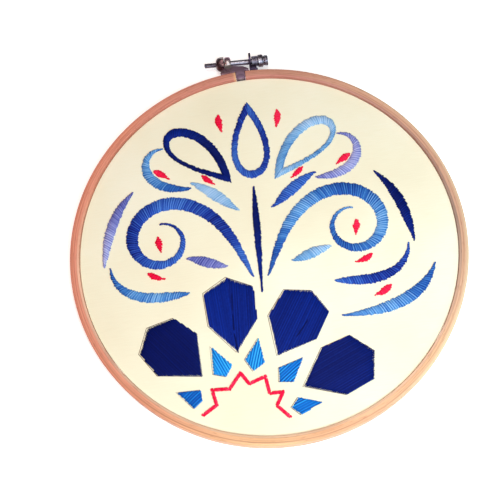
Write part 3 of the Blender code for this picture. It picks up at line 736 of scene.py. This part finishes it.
# An open leaf curls by so many degrees, and is stitched so wide at each end and on each side.
Leaf = namedtuple("Leaf", "name across up axis length breadth curl point end near far right left")
LEAVES = (
    Leaf("wing", 12.0, 66.5, 55, 47, 23, -26, 7.0, 4.0, 2.4, 5.4, "sky", "navy"),
    Leaf("crown", 0, 114, -90, 46, 23, 0, 7.0, 4.2, 3.4, 3.4, "royal", None),
)
# How far the tones of a stroke's stitches differ, and the threads that have another value.
CONTRAST, CONTRASTS = 0.26, {"navy": 0.16, "red": 0.15}
# How far a stitch leans along its stroke, and along a bud, which is shorter than 12 mm.
LEAN, BUD_LEAN, BUD_LENGTH = 1.8, 0.5, 12
# How far past its edge a stitch ends, from the least, which is short of it, to the most.
STROKE_ENDS, PATCH_ENDS = (-0.2, 0.45), (-0.1, 0.3)
# Where the shape is narrower than this, no stitch is laid.
NARROWEST_STROKE, NARROWEST_PATCH = 0.35, 0.6
# The dye changes slowly along the thread, once in this many mm of stitching.
DYE_LENGTH = 60

# A stitch goes from hole to hole. Arch is how much higher its middle is than if it lay on the
# cloth, flat is how level its top is, and shade is its place among its thread's dyes.
Stitch = namedtuple("Stitch", "start end arch flat shade")
# Each thread's stitches, to be laid again behind the cloth.
BACK_STITCHES = {}

# How far the pencilled outlines slipped sideways and up, and the line's section: how far out
# it is, and how high above the cloth.
GUIDE_SLIPS = (-0.72, -0.5), (0.05, 0.3)
GUIDE_SECTION = ((0.2, 0.02), (0.2, 0.06), (-0.1, 0.06), (-0.1, 0.02))


def base_stitch():
    """One thread from x = -0.5 to 0.5, 1 across and 1 high, drawn in where it enters the cloth."""
    piece = start_piece(
        "stitch",
        bpy.ops.mesh.primitive_cylinder_add,
        vertices=THREAD_SIDES,
        radius=0.5,
        depth=1,
        rotation=(0, math.pi / 2, 0),
        calc_uvs=True,
    )
    bpy.ops.object.mode_set(mode="EDIT")
    for place in STITCH_CUTS:
        bpy.ops.mesh.select_all(action="SELECT")
        bpy.ops.mesh.bisect(plane_co=(place, 0, 0), plane_no=(1, 0, 0))
    for end in (-0.5, 0.5):
        select_where(piece, "VERT", lambda place: abs(place.x - end) < 0.01)
        bpy.ops.transform.resize(value=(1, DRAWN_IN, DRAWN_IN), center_override=(end, 0, 0))
    bpy.ops.object.mode_set(mode="OBJECT")
    mesh = piece.data
    places = np.array([vertex.co for vertex in mesh.vertices])
    faces = [tuple(face.vertices) for face in mesh.polygons]
    layer = mesh.uv_layers.active.data
    wraps = np.array([layer[loop].uv for face in mesh.polygons for loop in face.loop_indices])
    bpy.data.objects.remove(piece, do_unlink=True)
    return places, faces, wraps


STITCH_PLACES, STITCH_FACES, STITCH_WRAPS = base_stitch()


def joined_stitches(name, stitches, face=1, width=THREAD_WIDTH):
    """All of a patch's stitches as one mesh, on the cloth's front or, with face -1, its back.

    Each is the base stitch, laid from hole to hole.
    """
    count, size = len(stitches), len(STITCH_PLACES)
    starts, ends, arches, flats, shades = (np.array(column) for column in zip(*stitches))
    runs = ends - starts
    lengths = np.linalg.norm(runs, axis=1)
    sides = np.stack((-runs[:, 1], runs[:, 0]), axis=1) / lengths[:, None]
    along, beside, above = STITCH_PLACES.T
    # Flat-topped in a long stitch and round in a short one.
    rise = 1 - np.abs(2 * along) ** flats[:, None]
    tops = THREAD_HEIGHT / 2 - ENTRY_HEIGHT + arches[:, None]
    heights = ENTRY_HEIGHT + rise * tops + above * THREAD_HEIGHT
    places = np.empty((count, size, 3))
    places[:, :, :2] = starts[:, None] + runs[:, None] * (along[:, None] + 0.5)
    places[:, :, :2] += sides[:, None] * (beside[:, None] * width)
    places[:, :, 2] = (CLOTH_TOP if face > 0 else CLOTH_BACK) + face * heights
    places = places.reshape(-1, 3) * MM + np.array(CENTRE)
    faces = [
        tuple(corner + index * size for corner in shape)
        for index in range(count)
        for shape in STITCH_FACES
    ]
    piece = mesh_piece(name, places.tolist(), faces)
    mesh = piece.data
    wraps = np.tile(STITCH_WRAPS, (count, 1, 1))
    wraps[:, :, 1] = (wraps[:, :, 1] - 0.5) * 2 * lengths[:, None]
    mesh.uv_layers.new(name="thread").data.foreach_set("uv", wraps.ravel())
    shades, flanks = np.repeat(shades, size), np.tile(2 * np.abs(beside), count)
    for label, values in (("shade", shades), ("flank", flanks)):
        mesh.attributes.new(label, "FLOAT", "POINT").data.foreach_set("value", values)
    mesh.polygons.foreach_set("use_smooth", [True] * len(faces))
    if face < 0:
        turn_outwards(piece)
    return piece


def random_shades(count, tone, drift, contrast, seed):
    """Tones for a run of stitches: a slow change along the thread, and varied one by one."""
    draw = random.Random(seed)
    phase = draw.uniform(0, 1)
    shades = []
    for index in range(count):
        slow = math.sin(2 * math.pi * (phase + index * PITCH / DYE_LENGTH))
        fast = (-1) ** index * draw.uniform(0.1, 0.9) + draw.uniform(-0.35, 0.35)
        shades.append(tone + drift * slow + contrast * fast)
    return shades


def stitch_patch(node, stitches, slot, width=THREAD_WIDTH):
    piece = joined_stitches(node + "_stitches", stitches, width=width)
    finish_piece(piece, HOOP_BODY, THREAD_MATERIALS[slot])
    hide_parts(node)
    BACK_STITCHES.setdefault(slot, []).extend(stitches)


def satin_between(first, second, seed, lean, contrast):
    """Satin stitch from one edge to the other, leaning along it, with ragged ends."""
    draw = random.Random(seed)
    first, second = np.array(first), np.array(second)
    runs = np.diff((first + second) / 2, axis=0)
    steps = np.concatenate(([0], np.cumsum(np.linalg.norm(runs, axis=1))))
    count = int(steps[-1] / PITCH)
    shades = random_shades(count, 0.55, 0.8 * contrast, contrast, seed)
    stitches = []
    for index in range(count):
        spot = (index + 0.5) * steps[-1] / count
        start, end = (
            Vector([np.interp(place, steps, edge[:, axis]) for axis in (0, 1)])
            for place, edge in ((spot - lean / 2, first), (spot + lean / 2, second))
        )
        run = end - start
        width = run.length
        if width < NARROWEST_STROKE:
            continue
        ahead = run / width
        start -= ahead * draw.uniform(*STROKE_ENDS)
        end += ahead * draw.uniform(*STROKE_ENDS)
        # A longer stitch stands higher, up to a point.
        arch = min(0.62, 0.1 + 0.1 * width) + draw.uniform(-0.04, 0.04)
        stitches.append(Stitch(tuple(start), tuple(end), arch, 2.4, shades[index]))
    return stitches


def satin_fill(outline, lay, seed, tone, contrast):
    """Long satin stitches across a flat-sided patch, all laid at one angle."""
    draw = random.Random(seed)
    ahead = Vector((math.cos(math.radians(lay)), math.sin(math.radians(lay))))
    beside = Vector((-ahead.y, ahead.x))
    spots = [corner.dot(beside) for corner in outline]
    lowest, highest = min(spots), max(spots)
    count = int((highest - lowest) / PITCH)
    shades = random_shades(count, tone, 0.04, contrast, seed)
    stitches = []
    for index in range(count):
        spot = lowest + (index + 0.5) * (highest - lowest) / count
        crossings = []
        for corner, after in zip(outline, outline[1:] + outline[:1]):
            first, second = corner.dot(beside) - spot, after.dot(beside) - spot
            if first * second < 0:
                crossings.append(corner.lerp(after, first / (first - second)).dot(ahead))
        if len(crossings) < 2 or max(crossings) - min(crossings) < NARROWEST_PATCH:
            continue
        slip = draw.uniform(-0.07, 0.07)
        start_at = min(crossings) - draw.uniform(*PATCH_ENDS)
        end_at = max(crossings) + draw.uniform(*PATCH_ENDS)
        start = beside * (spot + slip) + ahead * start_at
        end = beside * (spot - slip) + ahead * end_at
        length = (end - start).length
        arch = min(0.55, 0.12 + 0.05 * length) + draw.uniform(-0.06, 0.06)
        flat = max(2.4, length / 3)
        stitches.append(Stitch(tuple(start), tuple(end), arch, flat, shades[index]))
    return stitches


def polar(radius, degrees):
    angle = math.radians(degrees)
    return ROSETTE + Vector((math.cos(angle), math.sin(angle))) * radius


def petal_outline(petal):
    return [
        polar(petal.tip, petal.axis),
        polar(petal.near, petal.axis - petal.near_spread),
        polar(petal.far, petal.axis - petal.far_spread),
        polar(petal.point, petal.axis),
        polar(petal.far, petal.axis + petal.far_spread),
        polar(petal.near, petal.axis + petal.near_spread),
    ]


def kite_outline(kite):
    return [
        polar(kite.near, kite.axis),
        polar(kite.side, kite.axis - kite.spread),
        polar(kite.far, kite.axis),
        polar(kite.side, kite.axis + kite.spread),
    ]


def stitch_petal(number, petal):
    outline = petal_outline(petal)
    patches = [(outline, 0, 40)]
    if petal.seam:
        # The two halves are laid a few degrees apart and meet over the same line.
        over = Vector((SEAM_OVERLAP, 0))
        right = [outline[0] - over, *outline[1:3], outline[3] - over]
        left = [outline[0] + over, outline[3] + over, *outline[4:]]
        patches = [(right, SEAM_LAYS[0], 40), (left, SEAM_LAYS[1], 50)]
    stitches = []
    for patch, turn, seed in patches:
        stitches += satin_fill(patch, petal.lay + turn, seed + number, petal.tone, PETAL_CONTRAST)
    # Painted shade: a darker thread along the line where the petal's threads shade each other.
    line = [Vector(place) for place in PETAL_SHADE_LINES.get(number, ())]
    for start, end in zip(line, line[1:]):
        reach = (end - start).normalized() * SHADE_LINE_REACH
        holes = tuple(start - reach), tuple(end + reach)
        stitches.append(Stitch(*holes, SHADE_LINE_ARCH, SHADE_LINE_FLAT, petal.tone + SHADE_LINE_TONE))
    stitch_patch(f"petal_{number}", stitches, "navy")


def stitch_star():
    """The star is stem stitch: each stitch starts beside the middle of the one before."""
    radii = (STAR_OUTER, STAR_INNER) * len(STAR_ANGLES)
    corners = [polar(radius, angle) for radius, angle in zip(radii, STAR_ANGLES)]
    draw = random.Random(71)
    stitches = []
    for start, end in zip(corners, corners[1:]):
        run = end - start
        ahead = run.normalized()
        beside = Vector((-ahead.y, ahead.x))
        count = round(run.length / STEM_STEP)
        for index in range(count + 1):
            middle = start + run * index / count
            half = STEM_HALF if 0 < index < count else CORNER_HALF
            shift = (STAR_WIDTH - STEM_WIDTH) / 2 * (1 if index % 2 else -1)
            first = middle - ahead * half + beside * (shift - STEM_SLANT)
            last = middle + ahead * half + beside * (shift + STEM_SLANT)
            arch = draw.uniform(0.2, 0.32)
            stitches.append(Stitch(tuple(first), tuple(last), arch, 2.6, draw.uniform(0.4, 0.85)))
    stitch_patch("star_line", stitches, "red", STEM_WIDTH)


def stitch_rosette():
    for number, petal in enumerate(PETALS, 1):
        stitch_petal(number, petal)
    for number, kite in enumerate(KITES, 1):
        outline = kite_outline(kite)
        stitches = satin_fill(outline, kite.lay, 60 + number, kite.tone, KITE_CONTRAST)
        stitch_patch(f"kite_{number}", stitches, "turquoise")
    stitch_star()


def spray_place(across, up):
    return SPRAY_ROOT + Matrix.Rotation(math.radians(SPRAY_TILT), 2) @ Vector((across, up))


def stroke_edges(stroke, side, steps=120):
    """The two edges of a stroke whose bend grows evenly along its length."""
    run = stroke.length / steps
    across, up = stroke.across, stroke.up
    power = math.log(0.5) / math.log(stroke.peak)
    first, second = [], []
    for step in range(steps + 1):
        share = step / steps
        turn = stroke.bend * share + (stroke.end_bend - stroke.bend) * share**2 / 2
        heading = math.radians(stroke.heading + turn * stroke.length)
        swell = max(math.sin(math.pi * share**power), 0) ** 0.85
        half = max(0.25, stroke.widest * swell / 2)
        out = Vector((-math.sin(heading), math.cos(heading))) * half
        first.append(spray_place((across + out.x) * side, up + out.y))
        second.append(spray_place((across - out.x) * side, up - out.y))
        across += run * math.cos(heading)
        up += run * math.sin(heading)
    return first, second


def leaf_place(leaf, side, along, out):
    axis = math.radians(leaf.axis)
    if leaf.curl:
        radius = leaf.length / math.radians(leaf.curl)
        turn = along / radius
        along, out = (radius - out) * math.sin(turn), radius - (radius - out) * math.cos(turn)
    across = leaf.across + along * math.cos(axis) - out * math.sin(axis)
    up = leaf.up + along * math.sin(axis) + out * math.cos(axis)
    return spray_place(across * side, up)


def leaf_edges(leaf, side, steps=160):
    """The outline of an open leaf, and of the opening inside it."""
    opening = leaf.length - leaf.point - leaf.end
    room = leaf.breadth - leaf.near - leaf.far
    first, second = [], []
    for step in range(steps + 1):
        turn = 2 * math.pi * step / steps
        along = (1 - math.cos(turn)) / 2
        out = 0.575 * math.sin(turn) * abs(math.sin(turn / 2)) ** 0.9
        shift = (leaf.near - leaf.far) / 2 * math.sin(math.pi * min(along + 0.2, 1) / 2)
        first.append(leaf_place(leaf, side, leaf.length * along, leaf.breadth * out))
        second.append(leaf_place(leaf, side, leaf.point + opening * along, room * out + shift))
    return first, second


def stitch_spray():
    seed = 100
    for shapes, edges_of in ((STROKES, stroke_edges), (LEAVES, leaf_edges)):
        for shape in shapes:
            for side, word, slot in ((1, "right", shape.right), (-1, "left", shape.left)):
                seed += 1
                if slot:
                    lean = BUD_LEAN if shape.length < BUD_LENGTH else LEAN
                    contrast = CONTRASTS.get(slot, CONTRAST)
                    stitches = satin_between(*edges_of(shape, side), seed, lean, contrast)
                    stitch_patch(f"{shape.name}_{word}", stitches, slot)


def stitch_back():
    """The same threads where they cross behind the cloth, lower and pulled tighter."""
    for slot, stitches in BACK_STITCHES.items():
        behind = [stitch._replace(arch=0.0) for stitch in stitches]
        piece = joined_stitches(f"back_of_{slot}_stitches", behind, face=-1)
        finish_piece(piece, HOOP_BODY, THREAD_MATERIALS[slot])


def draw_guide_lines():
    """The pencilled outlines that the stitches should cover, showing where they miss."""
    draw = random.Random(9)
    verts, faces = [], []
    outlines = [petal_outline(petal) for petal in PETALS] + [kite_outline(kite) for kite in KITES]
    for outline in outlines:
        first, count = len(verts), len(outline)
        middle = sum(outline, Vector((0, 0))) / count
        slip = Vector([draw.uniform(*span) for span in GUIDE_SLIPS])
        # A flat closed ring, 0.3 mm wide, that stands just clear of the cloth.
        for rim, height in GUIDE_SECTION:
            for corner in outline:
                out = (corner - middle).normalized()
                verts.append((*(corner + slip + out * rim), CLOTH_TOP + height))
        for side in range(4):
            for index in range(count):
                here, after = first + side * count, first + (side + 1) % 4 * count
                step = (index + 1) % count
                faces.append((here + index, after + index, after + step, here + step))
    places = [tuple(Vector(vertex) * MM + CENTRE) for vertex in verts]
    piece = mesh_piece("guide_lines", places, faces)
    turn_outwards(piece)
    finish_piece(piece, HOOP_BODY, PENCIL)


# -------- camera, light and floor

# The camera: metres from the middle of the face, then degrees.
CAMERA_AWAY, CAMERA_TILT, CAMERA_TURN, CAMERA_ROLL = 0.52, 19.8, -2.45, -6.6
# The photograph's size, where the middle of the face is in it, and its focal length, in pixels.
PICTURE, MIDDLE, FOCAL = (500, 499), (267.9, 244.5), 988
SENSOR = 36
# The panels and the lamp, in metres from the middle of the rings: place, size, watts and tint.
LIGHTS = (
    ("overhead_panel", (0.0, 0.1, 0.85), 0.4, 2.9, "#fff6ec"),
    ("front_panel", (0.09, -0.22, 0.34), 0.2, 1.45, "#eefaff"),
    ("right_panel", (0.5, -0.42, 0.38), 0.35, 0.9, "#70d8ff"),
    ("left_lamp", (-0.7, -0.05, 0.5), 0.4, 0.8, "#ff4010"),
)


def make_camera():
    """Looks down on the hoop from the photographer's place, a little turned."""
    tilt, turn, roll = (math.radians(angle) for angle in (CAMERA_TILT, CAMERA_TURN, CAMERA_ROLL))
    lean = math.sin(tilt)
    back = Vector((math.sin(turn) * lean, -math.cos(turn) * lean, math.cos(tilt)))
    right = (-back).cross(Vector((0, 0, 1))).normalized()
    up = right.cross(-back)
    across = right * math.cos(roll) + up * math.sin(roll)
    upward = up * math.cos(roll) - right * math.sin(roll)
    data = bpy.data.cameras.new("camera")
    data.sensor_width = SENSOR
    data.lens = FOCAL / PICTURE[0] * SENSOR
    data.shift_x = (PICTURE[0] / 2 - MIDDLE[0]) / PICTURE[0]
    data.shift_y = (MIDDLE[1] - PICTURE[1] / 2) / PICTURE[0]
    data.clip_start = 0.01
    camera = bpy.data.objects.new("camera", data)
    place = Matrix((across, upward, back)).transposed().to_4x4()
    place.translation = CENTRE + Vector((0, 0, HOOP_DEPTH * MM)) + back * CAMERA_AWAY
    camera.matrix_world = place
    add_to_scene(camera)
    bpy.context.scene.camera = camera


def area_light(name, place, size, power, tint):
    """A square panel of light that faces the middle of the rings."""
    data = bpy.data.lights.new(name, "AREA")
    data.size = size
    data.energy = power
    data.color = colour(tint)[:3]
    light = bpy.data.objects.new(name, data)
    light.location = CENTRE + Vector(place)
    light.rotation_euler = (-Vector(place)).to_track_quat("-Z", "Y").to_euler()
    add_to_scene(light)


def make_studio():
    """A pale floor that glows a little, a dim warm room, and the lights."""
    floor = start_piece("studio_floor", bpy.ops.mesh.primitive_plane_add, size=6)
    glow = {"Emission_Color": (1, 1, 1, 1), "Emission_Strength": 0.55}
    material, add, place, shader = new_material(
        "pale studio floor", Roughness=0.95, IOR=1.4, **glow
    )
    mottle = add("TexNoise", {"Vector": place, "Scale": 3.0})
    whites = ((0.3, "#fbfbfb"), (0.7, "#ffffff"))
    feed(shader, Base_Color=set_ramp(add("ValToRGB", {0: mottle}), whites))
    floor.data.materials.append(material)
    world = bpy.data.worlds.new("studio")
    world.use_nodes = True
    background = world.node_tree.nodes["Background"]
    background.inputs["Color"].default_value = colour("#fff4e0")
    background.inputs["Strength"].default_value = 0.08
    bpy.context.scene.world = world
    for light in LIGHTS:
        area_light(*light)
    bpy.context.scene.view_settings.view_transform = "Standard"


make_camera()
make_rings()
make_cotton()
make_thumb_screw()
softened_copy("left_bracket", "clamp_bracket_left", 0.18, PLATE_STEEL)
softened_copy("right_bracket", "clamp_bracket_right", 0.15, SHADED_EAR_STEEL)
softened_copy("hexagon_nut", "clamp_nut", 0.18, BRONZE)
stitch_rosette()
stitch_spray()
stitch_back()
draw_guide_lines()
make_studio()
